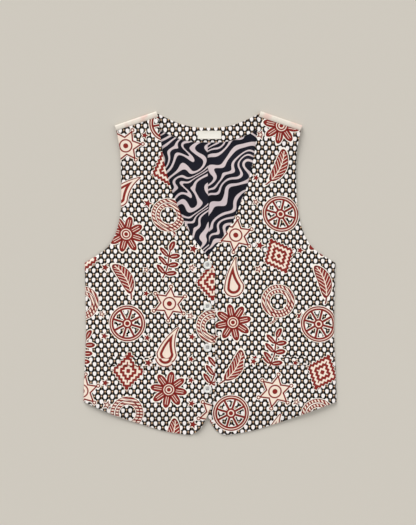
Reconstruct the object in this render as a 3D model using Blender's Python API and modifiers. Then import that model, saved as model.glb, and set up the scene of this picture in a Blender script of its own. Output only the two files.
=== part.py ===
"""A buttoned western vest, laid flat on its back.

The vest lies in its own frame: +X to the side where the wearer's left front lies, +Y to the neck, +Z up
from the surface that it rests on. Each piece that a maker would cut is one object, and its cloth is a
wall. From the surface up lie the back, whose shoulders roll over to the front, the two halves of its
lining with the neck facing above them, the wearer's left front, the wearer's right front that laps over
it, and on those the pocket welts and the buttons.
"""

import math
from collections import namedtuple

import bmesh
import bpy
from mathutils import Vector
from mathutils.bvhtree import BVHTree

# Overall sizes, in metres. "Up" is measured from the hem's lowest point and "across" from the middle.
LENGTH = 0.5814
UNDERARM_UP = 0.3087
CLOSING_SHIFT = -0.0046
SHOULDER_SHIFT = -0.0028
OVERLAP_HALF = 0.0135
SEAM_GAP = 0.0003

# Cloth walls.
BACK_WALL = 0.0010
LINING_WALL = 0.0010
FRONT_WALL = 0.0013
WELT_WALL = 0.0012
LABEL_WALL = 0.0010

# Heights of the layers above the surface, each to the upper side of its cloth.
LAYER_GAP = 0.00035
LINING_TOP = BACK_WALL + SEAM_GAP + LINING_WALL
PLEAT_RISE = LINING_WALL + LAYER_GAP
FRONT_REST_TOP = LINING_TOP + LAYER_GAP + FRONT_WALL
FRONT_BODY_RISE = 0.0021
LAP_RISE = FRONT_WALL + 2 * LAYER_GAP
ARMHOLE_DROOP = 0.0004
ARMHOLE_DROOP_WIDTH = 0.012
HEM_EDGE_TOP = FRONT_WALL + 0.0002
HEM_DROOP_LENGTH = 0.040
SIDE_EDGE_TOP = 0.0012
SIDE_ROLL = 0.006
SIDE_ROLL_FADE = 0.075

# The shoulder rolls over in a half round, and the back ends on the front side at a seam.
FOLD_RADIUS = 0.0035
FLAP_AT_NECK = 0.0108
FLAP_AT_TIP = 0.0102

# How far the hidden edges stand in from the fronts' outline.
BACK_INSET = 0.0024
LINING_INSET = 0.0060
LINING_HEM_UP = 0.014
LINING_FOLD_GAP = 0.0012

# The pleat in the middle of the lining: where its edge lies, how far it laps, and where its rise ends and
# begins. The fronts lift over it, and the upper front lifts again over the lower one. A pair is where a rise starts and ends.
PLEAT_EDGE = -0.0015
PLEAT_LAP = 0.0060
PLEAT_TURN = 0.0095
PLEAT_FOOT = 0.0135
OVER_PLEAT = (0.034, 0.018)
OVER_LAP = (0.014, 0.002)
LAP_FADE_UP = (0.40, 0.34)
OVER_BODY = (0.018, 0.100)
SHOULDER_RISE = (0.84, 0.985)

# Pocket welts, label and buttons.
WELT_LENGTH = 0.113
WELT_WIDTH = 0.015
WELT_MIDDLE_AWAY = 0.1207
WELT_MIDDLE_UP = 0.1315
WELT_SLANT = math.radians(2.3)
LABEL_LENGTH = 0.0425
LABEL_WIDTH = 0.0148
LABEL_MIDDLE_AWAY = 0.0017
LABEL_MIDDLE_UP = 0.5389
BUTTON_RADIUS = 0.0075
BUTTON_PITCH = 0.074
LOWEST_BUTTON_UP = 0.083
BUTTON_COUNT = 4
BUTTON_STEPS = 20
HOLE_RADIUS = 0.00095
HOLE_CIRCLE = 0.0019

# The share of an outer or inner edge at which its corner lies: the underarm, or the top of the lap.
CORNER_SHARE = 0.5

Station = namedtuple("Station", "place across up")
Ring = namedtuple("Ring", "place radius height")

# Edges, as a row for each station along them.
SIDE_SEAM = (
    Station("hem", 0.2277, 0.0594),
    Station("hip", 0.2268, 0.0950),
    Station("waist", 0.2232, 0.1800),
    Station("ribs", 0.2240, 0.2450),
    Station("underarm", 0.2257, UNDERARM_UP),
)
ARMHOLE = (
    Station("underarm", 0.2257, UNDERARM_UP),
    Station("scoop", 0.2000, 0.3246),
    Station("turn", 0.1820, 0.3395),
    Station("rise", 0.1680, 0.3650),
    Station("chest", 0.1595, 0.4020),
    Station("narrowest", 0.1572, 0.4500),
    Station("yoke", 0.1587, 0.5080),
    Station("tip", 0.1659, 0.5479),
)
# The next two are measured away from the closing line, so that they serve both fronts.
CLOSING_EDGE = (
    Station("middle of the corner", 0.0140, 0.0093),
    Station("corner", 0.0077, 0.0184),
    Station("notch", 0.0009, 0.0333),
    Station("above the notch", -0.0070, 0.0522),
    Station("end of the round", -0.0126, 0.0730),
    Station("last button", -0.0135, 0.0950),
    Station("second button", -0.0135, 0.2300),
    Station("top of the lap", -0.0135, 0.2970),
)
V_EDGE = (
    Station("top of the lap", -0.0135, 0.2970),
    Station("point of the V", 0.0000, 0.3195),
    Station("bust", 0.0322, 0.3627),
    Station("mid V", 0.0536, 0.4068),
    Station("upper V", 0.0700, 0.4509),
    Station("collar bone", 0.0815, 0.5000),
    Station("neck", 0.0908, 0.5721),
)
FRONT_HEM = (
    Station("middle of the corner", 0.0140, 0.0093),
    Station("point", 0.0234, 0.0024),
    Station("lowest", 0.0350, -0.0003),
    Station("inner hem", 0.0800, 0.0071),
    Station("mid hem", 0.1250, 0.0205),
    Station("outer hem", 0.1700, 0.0360),
)
NECKLINE = (
    Station("middle", 0.0000, 0.5518),
    Station("inner", 0.0250, 0.5530),
    Station("mid", 0.0500, 0.5588),
    Station("outer", 0.0750, 0.5692),
    Station("shoulder", 0.0926, 0.5781),
)
FACING_EDGE = (
    Station("middle", 0.0000, 0.5256),
    Station("inner", 0.0250, 0.5263),
    Station("mid", 0.0450, 0.5300),
    Station("outer", 0.0650, 0.5370),
    Station("under the front", 0.0850, 0.5480),
    Station("shoulder", 0.1090, 0.5722),
)
BACK_HEM = (
    Station("middle", 0.0000, 0.0486),
    Station("mid", 0.1100, 0.0520),
    Station("side", 0.2257, 0.0600),
)
NECK_FOLD = Vector((0.0938, 0.5814))
TIP_FOLD = Vector((0.1685, 0.5558))
FOLD_INWARD = Vector((TIP_FOLD.y - NECK_FOLD.y, NECK_FOLD.x - TIP_FOLD.x)).normalized()

BUTTON_PROFILE = (
    Ring("dish", 0.0000, 0.0014),
    Ring("dish edge", 0.0036, 0.0015),
    Ring("rim", 0.0048, 0.0023),
    Ring("rim top", 0.0064, 0.0025),
    Ring("shoulder", 0.0073, 0.0020),
    Ring("girth", BUTTON_RADIUS, 0.0013),
    Ring("foot", 0.0062, 0.0002),
    Ring("underside", 0.0000, 0.0000),
)

# Colours are linear red, green and blue.
PRINT_COLOUR = (0.52, 0.40, 0.34)
BACK_COLOUR = (0.80, 0.72, 0.62)
LINING_COLOUR = (0.17, 0.14, 0.16)
LABEL_COLOUR = (0.90, 0.87, 0.78)
BUTTON_COLOUR = (0.78, 0.76, 0.75)


def smoothstep(low, high, value):
    share = min(1.0, max(0.0, (value - low) / (high - low)))
    return share * share * (3 - 2 * share)


def closing_line(up):
    """The fronts meet a little off the middle of the body, and the neck lies on its middle."""
    return CLOSING_SHIFT * (1 - smoothstep(0.31, 0.45, up))


def smooth_path(points, samples=12):
    """A curve through the points, as a function of the share of its length."""
    ends = [2 * points[0] - points[1], *points, 2 * points[-1] - points[-2]]
    line = [points[0]]
    for before, start, end, after in zip(ends, ends[1:], ends[2:], ends[3:]):
        span = (end - start).length
        leave = (end - before) * (span / ((start - before).length + span))
        arrive = (after - start) * (span / ((after - end).length + span))
        for step in range(1, samples + 1):
            t = step / samples
            line.append(
                start * (1 + t * t * (2 * t - 3))
                + leave * t * (1 - t) ** 2
                + end * t * t * (3 - 2 * t)
                - arrive * t * t * (1 - t)
            )
    lengths = [0.0]
    for start, end in zip(line, line[1:]):
        lengths.append(lengths[-1] + (end - start).length)

    def at(share):
        wanted = share * lengths[-1]
        piece = max(1, next((i for i, done in enumerate(lengths) if done >= wanted), len(line) - 1))
        part = (wanted - lengths[piece - 1]) / (lengths[piece] - lengths[piece - 1])
        return line[piece - 1].lerp(line[piece], min(1.0, part))

    return at


def joined(lower, upper, split):
    """Two paths end to end: the first up to the share "split" and the second from there."""
    return lambda share: lower(share / split) if share <= split else upper((share - split) / (1 - split))


def points_of(stations):
    return [Vector((station.across, station.up)) for station in stations]


def moved_in(points, distance):
    """The points moved to the left of their own line, which is the garment's inner side on an outer edge."""
    moved = []
    for i, point in enumerate(points):
        along = (points[min(i + 1, len(points) - 1)] - points[max(i - 1, 0)]).normalized()
        moved.append(point + Vector((-along.y, along.x)) * distance)
    return moved


def patch_point(edges, u, v):
    """A point of the four-sided patch between its edges: u runs across and v up."""
    left, right, bottom, top = edges
    across = left(v).lerp(right(v), u)
    up = bottom(u).lerp(top(u), v)
    corners = left(0).lerp(right(0), u).lerp(left(1).lerp(right(1), u), v)
    return across + up - corners


def outer_edge(inset):
    """The side seam and armhole of one side as one path, standing in from the outline."""
    stations = moved_in(points_of(SIDE_SEAM) + points_of(ARMHOLE)[1:], inset)
    corner = len(SIDE_SEAM)
    return joined(smooth_path(stations[:corner]), smooth_path(stations[corner - 1 :]), CORNER_SHARE)


def flap_at(share):
    """How far the shoulder seam lies in from the fold, from the neck to the tip."""
    return FLAP_AT_NECK + (FLAP_AT_TIP - FLAP_AT_NECK) * share


def fold_at(share, inward=0.0):
    return NECK_FOLD.lerp(TIP_FOLD, share) + FOLD_INWARD * inward


FRONT_COLUMNS = [i / 16 * 0.968 for i in range(17)] + [0.980, 0.990, 0.997, 1.0]
FRONT_ROWS = 34


def front_edges(side):
    """The four edges of a front on the plan, side 1 for the wearer's left and -1 for the right."""

    def own(station):
        return Vector((side * closing_line(station.up) + station.across, station.up))

    closing = smooth_path([own(s) for s in CLOSING_EDGE])
    hem = smooth_path([own(s) for s in FRONT_HEM] + [points_of(SIDE_SEAM)[0]])
    neck = fold_at(0, FLAP_AT_NECK + SEAM_GAP)
    tip = fold_at(1, FLAP_AT_TIP + SEAM_GAP)
    vee = smooth_path([own(s) for s in V_EDGE[:-1]] + [neck])
    outer_points = points_of(ARMHOLE)[:-1] + [tip]
    outer = joined(smooth_path(points_of(SIDE_SEAM)), smooth_path(outer_points), CORNER_SHARE)
    return joined(closing, vee, CORNER_SHARE), outer, hem, lambda u: neck.lerp(tip, u)


def front_height(side, edges, u, v, place):
    """The upper side of a front, above the surface."""
    height = FRONT_REST_TOP
    height += PLEAT_RISE * smoothstep(*OVER_PLEAT, place.x)
    height += FRONT_BODY_RISE * smoothstep(*OVER_BODY, place.x) * smoothstep(1, 0.75, u)
    side_distance = edges[1](v).x - place.x
    beside_armhole = smoothstep(ARMHOLE_DROOP_WIDTH, 0, side_distance) * smoothstep(0.5, 0.6, v)
    height -= ARMHOLE_DROOP * beside_armhole
    height += (2 * FOLD_RADIUS - height) * smoothstep(*SHOULDER_RISE, v)
    middle, corner = BACK_HEM[0], BACK_HEM[-1]
    past_back = middle.up + (corner.up - middle.up) * (place.x / corner.across) ** 2 - place.y
    height += (HEM_EDGE_TOP - height) * smoothstep(0, HEM_DROOP_LENGTH, past_back)
    if side < 0:
        lap_start = OVERLAP_HALF - closing_line(place.y)
        over = smoothstep(*OVER_LAP, place.x - lap_start)
        height += LAP_RISE * over * smoothstep(*LAP_FADE_UP, place.y)
    inward = min(1.0, max(0.0, side_distance / SIDE_ROLL))
    roll = (1 - math.sqrt(1 - (1 - inward) ** 2)) * smoothstep(CORNER_SHARE + SIDE_ROLL_FADE, CORNER_SHARE, v)
    return height - (height - SIDE_EDGE_TOP) * roll


def settle(across, up, height):
    """From the tables' measures to the vest's own frame, in which the shoulders lie a little to one side."""
    return Vector((across + SHOULDER_SHIFT * smoothstep(0.30, 0.50, up), up - LENGTH / 2, height))


def new_object(name, mesh, colour, roughness, collection):
    material = bpy.data.materials.new(name)
    material.use_nodes = True
    surface = material.node_tree.nodes["Principled BSDF"]
    surface.inputs["Base Color"].default_value = (*colour, 1)
    surface.inputs["Roughness"].default_value = roughness
    surface.inputs["Metallic"].default_value = 0
    mesh.materials.append(material)
    made = bpy.data.objects.new(name, mesh)
    collection.objects.link(made)
    return made


def grid_mesh(name, columns, rows, place, keep=None):
    """A grid whose points go where place(column, row) says, without the faces that keep leaves out."""
    grid = bmesh.new()
    bmesh.ops.create_grid(grid, x_segments=columns, y_segments=rows, size=1)
    cell = {}
    for point in grid.verts:
        cell[point] = (round((point.co.x + 1) / 2 * columns), round((point.co.y + 1) / 2 * rows))
    for point, (column, row) in cell.items():
        point.co = place(column, row)
    if keep:
        dropped = []
        for face in grid.faces:
            column = min(cell[point][0] for point in face.verts)
            row = min(cell[point][1] for point in face.verts)
            if not keep(column, row):
                dropped.append(face)
        bmesh.ops.delete(grid, geom=dropped, context="FACES")
    mesh = bpy.data.meshes.new(name)
    grid.to_mesh(mesh)
    grid.free()
    return mesh


def give_wall(made, thickness, offset):
    """Turns an open sheet into a wall. Offset -1 sinks it under the sheet and 1 raises it above."""
    wall = made.modifiers.new("Wall", "SOLIDIFY")
    wall.thickness = thickness
    wall.offset = offset
    wall.use_even_offset = True


def make_front(side, name, collection):
    """One front, whose sheet is its upper side. Its columns run from the closing edge to the side."""
    edges = front_edges(side)
    last = len(FRONT_COLUMNS) - 1

    def place(column, row):
        u = FRONT_COLUMNS[column if side > 0 else last - column]
        v = row / FRONT_ROWS
        plan = patch_point(edges, u, v)
        return settle(side * plan.x, plan.y, front_height(side, edges, u, v, plan))

    front = new_object(name, grid_mesh(name, last, FRONT_ROWS, place), PRINT_COLOUR, 0.85, collection)
    give_wall(front, FRONT_WALL, -1)
    return front


SHOULDER_COLUMNS = 5
NECK_COLUMNS = 6
BACK_ROWS = 20
FOLD_ROWS = 8
FLAP_ROWS = 1


def make_back(collection):
    """The back, whose sheet is its outer side: flat on the surface, then round the shoulder folds."""
    columns = NECK_COLUMNS + SHOULDER_COLUMNS
    outer = outer_edge(BACK_INSET)
    hem = smooth_path(points_of(BACK_HEM)[:-1] + [outer(0)])
    neckline = smooth_path(points_of(NECKLINE)[:-1] + [fold_at(0, FOLD_RADIUS)])
    neck_share = NECK_COLUMNS / columns

    def top(u):
        if u <= neck_share:
            return neckline(u / neck_share)
        return fold_at((u - neck_share) / (1 - neck_share), FOLD_RADIUS)

    def side_edge(v):
        return outer(v) + (top(1) - outer(1)) * smoothstep(0.85, 1, v)

    def middle(v):
        return hem(0).lerp(top(0), v)

    edges = (middle, side_edge, hem, top)

    def place(column, row):
        side = 1 if column > columns else -1
        away = abs(column - columns)
        if row <= BACK_ROWS:
            plan = patch_point(edges, away / columns, row / BACK_ROWS)
            return settle(side * plan.x, plan.y, 0)
        share = max(0.0, (away - NECK_COLUMNS) / SHOULDER_COLUMNS)
        turn = math.pi * min(1.0, (row - BACK_ROWS) / FOLD_ROWS)
        inward = FOLD_RADIUS * (1 - math.sin(turn))
        if row == BACK_ROWS + FOLD_ROWS + FLAP_ROWS:
            inward = flap_at(share)
        plan = fold_at(share, inward)
        return settle(side * plan.x, plan.y, FOLD_RADIUS * (1 - math.cos(turn)))

    def keep(column, row):
        return row < BACK_ROWS or not -NECK_COLUMNS <= column - columns < NECK_COLUMNS

    rows = BACK_ROWS + FOLD_ROWS + FLAP_ROWS
    back = new_object("back", grid_mesh("back", 2 * columns, rows, place, keep), BACK_COLOUR, 0.4, collection)
    give_wall(back, BACK_WALL, 1)


FACING_COLUMNS = 9
FACING_ROWS = 2


def make_neck_facing(collection):
    """The shaped band inside the back of the neck, in the fronts' cloth."""
    lower = smooth_path(points_of(FACING_EDGE))
    end = fold_at(0, FOLD_RADIUS + SEAM_GAP)
    upper = smooth_path(points_of(NECKLINE)[:-1] + [end])
    corner = points_of(FACING_EDGE)[-1]
    edges = (lambda v: lower(0).lerp(upper(0), v), lambda v: corner.lerp(end, v), lower, upper)

    def place(column, row):
        side = 1 if column > FACING_COLUMNS else -1
        plan = patch_point(edges, abs(column - FACING_COLUMNS) / FACING_COLUMNS, row / FACING_ROWS)
        return settle(side * plan.x, plan.y, LINING_TOP)

    mesh = grid_mesh("neck_facing", 2 * FACING_COLUMNS, FACING_ROWS, place)
    facing = new_object("neck_facing", mesh, PRINT_COLOUR, 0.85, collection)
    give_wall(facing, LINING_WALL, -1)
    return facing


LINING_ROWS = 18
LINING_SIDE_COLUMNS = 4
SEAM_SHARE = 0.62


def make_lining(side, name, collection):
    """Half of the back's lining. The wearer's right half laps over the left one as a soft pleat."""
    outer = outer_edge(LINING_INSET)
    hem_corner = outer(0) + Vector((0, LINING_HEM_UP))
    start = PLEAT_EDGE - PLEAT_LAP if side > 0 else -PLEAT_EDGE
    hem_middle = Vector((start, BACK_HEM[0].up + LINING_HEM_UP))
    facing_edge = smooth_path(points_of(FACING_EDGE))
    below_facing = Vector((0, -1.5 * SEAM_GAP))
    tip = fold_at(1, FOLD_RADIUS + LINING_FOLD_GAP)

    def seam(share):
        above = facing_edge(share) if share > 0 else Vector((start, facing_edge(0).y))
        return above + below_facing

    def side_edge(v):
        if v < 0.06:
            return hem_corner.lerp(outer(0.06), v / 0.06)
        return outer(v) + (tip - outer(1)) * smoothstep(0.8, 1, v)

    top = joined(seam, lambda share: seam(1).lerp(tip, share), SEAM_SHARE)
    edges = (lambda v: hem_middle.lerp(top(0), v), side_edge, lambda u: hem_middle.lerp(hem_corner, u), top)
    shares = [SEAM_SHARE * i / FACING_COLUMNS for i in (0, 0.5, *range(1, FACING_COLUMNS))]
    side_steps = range(LINING_SIDE_COLUMNS + 1)
    shares += [SEAM_SHARE + (1 - SEAM_SHARE) * i / LINING_SIDE_COLUMNS for i in side_steps]
    last = len(shares) - 1

    def place(column, row):
        plan = patch_point(edges, shares[column if side > 0 else last - column], row / LINING_ROWS)
        rise = PLEAT_RISE * smoothstep(PLEAT_FOOT, PLEAT_TURN, plan.x) if side < 0 else 0
        return settle(side * plan.x, plan.y, LINING_TOP + rise)

    lining = new_object(name, grid_mesh(name, last, LINING_ROWS, place), LINING_COLOUR, 0.5, collection)
    give_wall(lining, LINING_WALL, -1)


def surface_of(made):
    """A function that gives the height of a piece's upper side at a point of the plan."""
    bpy.context.view_layer.update()
    tree = BVHTree.FromObject(made, bpy.context.evaluated_depsgraph_get())

    def height(across, up):
        high_above = settle(across, up, LENGTH)
        return tree.ray_cast(high_above, Vector((0, 0, -1)))[0].z

    return height


def make_strip(name, size, middle, slant, carrier, wall, colour, cells, collection):
    """A straight strip that lies on its carrier, made from the carrier's own points, moved out."""
    height_at = surface_of(carrier)
    length, width = size
    columns, rows = cells
    along = Vector((math.cos(slant), math.sin(slant)))
    over = Vector((-along.y, along.x))

    def place(column, row):
        plan = middle + along * length * (column / columns - 0.5) + over * width * (row / rows - 0.5)
        return settle(plan.x, plan.y, height_at(plan.x, plan.y) + LAYER_GAP + wall)

    strip = new_object(name, grid_mesh(name, columns, rows, place), colour, 0.85, collection)
    give_wall(strip, wall, -1)


def make_welt(side, name, front, collection):
    middle = Vector((closing_line(WELT_MIDDLE_UP) + side * WELT_MIDDLE_AWAY, WELT_MIDDLE_UP))
    size = (WELT_LENGTH, WELT_WIDTH)
    slant = side * WELT_SLANT
    make_strip(name, size, middle, slant, front, WELT_WALL, PRINT_COLOUR, (10, 2), collection)


def button_mesh(cutters):
    """A turned button with a dished middle and four sewing holes."""
    profile = bmesh.new()
    corners = [profile.verts.new((ring.radius, 0, ring.height)) for ring in BUTTON_PROFILE]
    for start, end in zip(corners, corners[1:]):
        profile.edges.new((start, end))
    blank = bpy.data.meshes.new("button blank")
    profile.to_mesh(blank)
    profile.free()
    pattern = bpy.data.objects.new("button pattern", blank)
    turned = pattern.modifiers.new("Turned", "SCREW")
    turned.steps = BUTTON_STEPS
    turned.render_steps = BUTTON_STEPS
    turned.use_merge_vertices = True
    turned.merge_threshold = 0.0001
    drill = bmesh.new()
    pin = {"cap_ends": True, "segments": 8, "radius1": HOLE_RADIUS, "radius2": HOLE_RADIUS}
    for quarter in range(4):
        angle = math.radians(45 + 90 * quarter)
        drilled = bmesh.ops.create_cone(drill, depth=4 * BUTTON_RADIUS, **pin)
        offset = Vector((math.cos(angle), math.sin(angle), 0)) * HOLE_CIRCLE
        bmesh.ops.translate(drill, verts=drilled["verts"], vec=offset)
    drill_mesh = bpy.data.meshes.new("button drill")
    drill.to_mesh(drill_mesh)
    drill.free()
    cutter = bpy.data.objects.new("button drill", drill_mesh)
    cutter.hide_render = True
    cutter.display_type = "WIRE"
    cutters.objects.link(pattern)
    cutters.objects.link(cutter)
    holes = pattern.modifiers.new("Holes", "BOOLEAN")
    holes.operation = "DIFFERENCE"
    holes.object = cutter
    bpy.context.view_layer.update()
    finished = bpy.data.meshes.new_from_object(pattern.evaluated_get(bpy.context.evaluated_depsgraph_get()))
    bpy.data.objects.remove(pattern)
    bpy.data.objects.remove(cutter)
    finished.name = "button"
    return finished


def make_buttons(front, collection, cutters):
    mesh = button_mesh(cutters)
    height_at = surface_of(front)
    for number in range(BUTTON_COUNT):
        up = LOWEST_BUTTON_UP + BUTTON_PITCH * (BUTTON_COUNT - 1 - number)
        across = closing_line(up)
        button = new_object(f"button_{number + 1}", mesh.copy(), BUTTON_COLOUR, 0.2, collection)
        button.location = settle(across, up, height_at(across, up) + SEAM_GAP)


def clear_scene():
    for old in list(bpy.data.objects):
        bpy.data.objects.remove(old)


def main():
    clear_scene()
    vest = bpy.data.collections.new("Vest")
    cutters = bpy.data.collections.new("Cutters")
    bpy.context.scene.collection.children.link(vest)
    bpy.context.scene.collection.children.link(cutters)
    make_back(vest)
    make_lining(-1, "lining_right", vest)
    make_lining(1, "lining_left", vest)
    facing = make_neck_facing(vest)
    label_middle = Vector((LABEL_MIDDLE_AWAY, LABEL_MIDDLE_UP))
    label_size = (LABEL_LENGTH, LABEL_WIDTH)
    make_strip("label", label_size, label_middle, 0, facing, LABEL_WALL, LABEL_COLOUR, (4, 1), vest)
    front_left = make_front(1, "front_left", vest)
    front_right = make_front(-1, "front_right", vest)
    make_welt(1, "welt_left", front_left, vest)
    make_welt(-1, "welt_right", front_right, vest)
    make_buttons(front_right, vest, cutters)


main()
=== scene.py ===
import math
from collections import namedtuple
from functools import partialmethod, reduce

import bmesh
import bpy
from mathutils import Matrix, Vector
from mathutils.bvhtree import BVHTree
from mathutils.kdtree import KDTree


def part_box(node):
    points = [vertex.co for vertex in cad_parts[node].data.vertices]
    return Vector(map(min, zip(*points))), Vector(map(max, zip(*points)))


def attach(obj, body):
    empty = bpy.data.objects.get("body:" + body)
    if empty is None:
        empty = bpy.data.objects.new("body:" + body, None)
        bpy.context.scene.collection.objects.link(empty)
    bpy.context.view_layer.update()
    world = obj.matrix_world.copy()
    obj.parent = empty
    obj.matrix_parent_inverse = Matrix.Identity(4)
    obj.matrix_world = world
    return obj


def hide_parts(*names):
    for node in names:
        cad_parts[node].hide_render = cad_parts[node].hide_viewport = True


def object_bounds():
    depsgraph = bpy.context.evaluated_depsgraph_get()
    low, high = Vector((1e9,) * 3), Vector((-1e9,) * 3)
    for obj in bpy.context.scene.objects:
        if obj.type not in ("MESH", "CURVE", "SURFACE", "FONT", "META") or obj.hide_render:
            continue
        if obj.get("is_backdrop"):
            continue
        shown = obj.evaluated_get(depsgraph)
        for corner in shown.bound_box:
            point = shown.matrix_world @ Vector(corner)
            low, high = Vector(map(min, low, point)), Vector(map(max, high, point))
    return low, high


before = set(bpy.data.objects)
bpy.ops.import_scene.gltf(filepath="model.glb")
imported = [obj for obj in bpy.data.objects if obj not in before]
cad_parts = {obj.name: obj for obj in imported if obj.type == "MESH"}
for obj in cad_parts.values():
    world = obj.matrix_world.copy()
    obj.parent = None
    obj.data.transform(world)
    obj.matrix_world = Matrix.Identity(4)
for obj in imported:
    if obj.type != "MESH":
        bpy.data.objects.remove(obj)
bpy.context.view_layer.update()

# The back is one piece of ivory satin. It lies flat on its outer side, rolls over at each shoulder, and
# ends on the front side in a narrow strip that is sewn to the front's shoulder edge.
# Sizes are in metres: "across" runs from the middle and "up" from the lowest point of the hem.
LENGTH = 0.5814
SHOULDER_SHIFT = -0.0028
SEAM_GAP = 0.0003
LAYER_GAP = 0.00035
BACK_WALL = 0.0010
FOLD_RADIUS = 0.0035
FLAP_AT_NECK = 0.0108
FLAP_AT_TIP = 0.0102
BACK_INSET = 0.0024
CORNER_SHARE = 0.5

Station = namedtuple("Station", "place across up")

SIDE_SEAM = (
    Station("hem", 0.2277, 0.0594),
    Station("hip", 0.2268, 0.0950),
    Station("waist", 0.2232, 0.1800),
    Station("ribs", 0.2240, 0.2450),
    Station("underarm", 0.2257, 0.3087),
)
ARMHOLE = (
    Station("underarm", 0.2257, 0.3087),
    Station("scoop", 0.2000, 0.3246),
    Station("turn", 0.1820, 0.3395),
    Station("rise", 0.1680, 0.3650),
    Station("chest", 0.1595, 0.4020),
    Station("narrowest", 0.1572, 0.4500),
    Station("yoke", 0.1587, 0.5080),
    Station("tip", 0.1659, 0.5479),
)
NECKLINE = (
    Station("middle", 0.0000, 0.5518),
    Station("inner", 0.0250, 0.5530),
    Station("mid", 0.0500, 0.5588),
    Station("outer", 0.0750, 0.5692),
    Station("shoulder", 0.0926, 0.5781),
)
BACK_HEM = (
    Station("middle", 0.0000, 0.0486),
    Station("mid", 0.1100, 0.0520),
    Station("side", 0.2257, 0.0600),
)
NECK_FOLD = Vector((0.0938, 0.5814))
TIP_FOLD = Vector((0.1685, 0.5558))
FOLD_INWARD = Vector((TIP_FOLD.y - NECK_FOLD.y, NECK_FOLD.x - TIP_FOLD.x)).normalized()


def smoothstep(low, high, value):
    share = min(1.0, max(0.0, (value - low) / (high - low)))
    return share * share * (3 - 2 * share)


def smooth_path(points, samples=12):
    """A curve through the points, as a function of the share of its length."""
    ends = [2 * points[0] - points[1], *points, 2 * points[-1] - points[-2]]
    line = [points[0]]
    for before, start, end, after in zip(ends, ends[1:], ends[2:], ends[3:]):
        span = (end - start).length
        leave = (end - before) * (span / ((start - before).length + span))
        arrive = (after - start) * (span / ((after - end).length + span))
        for step in range(1, samples + 1):
            t = step / samples
            line.append(
                start * (1 + t * t * (2 * t - 3))
                + leave * t * (1 - t) ** 2
                + end * t * t * (3 - 2 * t)
                - arrive * t * t * (1 - t)
            )
    lengths = [0.0]
    for start, end in zip(line, line[1:]):
        lengths.append(lengths[-1] + (end - start).length)

    def at(share):
        wanted = share * lengths[-1]
        piece = max(1, next((i for i, done in enumerate(lengths) if done >= wanted), len(line) - 1))
        part = (wanted - lengths[piece - 1]) / (lengths[piece] - lengths[piece - 1])
        return line[piece - 1].lerp(line[piece], min(1.0, part))

    return at


def straight(start, end):
    """The line between two points, as a function of the share of its length."""
    return lambda share: start.lerp(end, share)


def joined(lower, upper, split):
    """Two paths end to end: the first up to the share "split" and the second from there."""
    return lambda share: lower(share / split) if share <= split else upper((share - split) / (1 - split))


def points_of(stations):
    return [Vector((station.across, station.up)) for station in stations]


def moved_in(points, distance):
    """The points moved to the left of their own line, the garment's inner side on an outer edge."""
    moved = []
    for i, point in enumerate(points):
        along = (points[min(i + 1, len(points) - 1)] - points[max(i - 1, 0)]).normalized()
        moved.append(point + Vector((-along.y, along.x)) * distance)
    return moved


def patch_point(edges, u, v):
    """A point of the four-sided patch between its edges: u runs across and v up."""
    left, right, bottom, top = edges
    across = left(v).lerp(right(v), u)
    up = bottom(u).lerp(top(u), v)
    corners = left(0).lerp(right(0), u).lerp(left(1).lerp(right(1), u), v)
    return across + up - corners


def outer_edge(inset):
    """The side seam and armhole of one side as one path, standing in from the outline."""
    stations = moved_in(points_of(SIDE_SEAM) + points_of(ARMHOLE)[1:], inset)
    corner = len(SIDE_SEAM)
    return joined(smooth_path(stations[:corner]), smooth_path(stations[corner - 1 :]), CORNER_SHARE)


def flap_at(share):
    """How far the shoulder seam lies in from the fold, from the neck to the tip."""
    return FLAP_AT_NECK + (FLAP_AT_TIP - FLAP_AT_NECK) * share


def fold_at(share, inward):
    """A point of the shoulder's fold, or so far in from it, from the neck to the tip."""
    return NECK_FOLD.lerp(TIP_FOLD, share) + FOLD_INWARD * inward


def settle(across, up, height):
    """From the tables' measures to the frame, in which the shoulders lie a little to one side."""
    return Vector((across + SHOULDER_SHIFT * smoothstep(0.30, 0.50, up), up - LENGTH / 2, height))


def on_side(side, plan, height, cut):
    """A point of a piece and of its flat cut, from the measures of one side: 1 is the wearer's left."""
    return settle(side * plan.x, plan.y, height), Vector((side * cut.x, cut.y))


def even(start, end, steps):
    return [start + (end - start) * step / steps for step in range(steps + 1)]


def as_cut(point):
    return point


def as_piece(name, shape, material):
    """The finished bmesh as a smooth object of one material."""
    mesh = bpy.data.meshes.new(name)
    shape.to_mesh(mesh)
    shape.free()
    mesh.shade_smooth()
    mesh.materials.append(material)
    piece = bpy.data.objects.new(name, mesh)
    bpy.context.scene.collection.objects.link(piece)
    return piece


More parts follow.
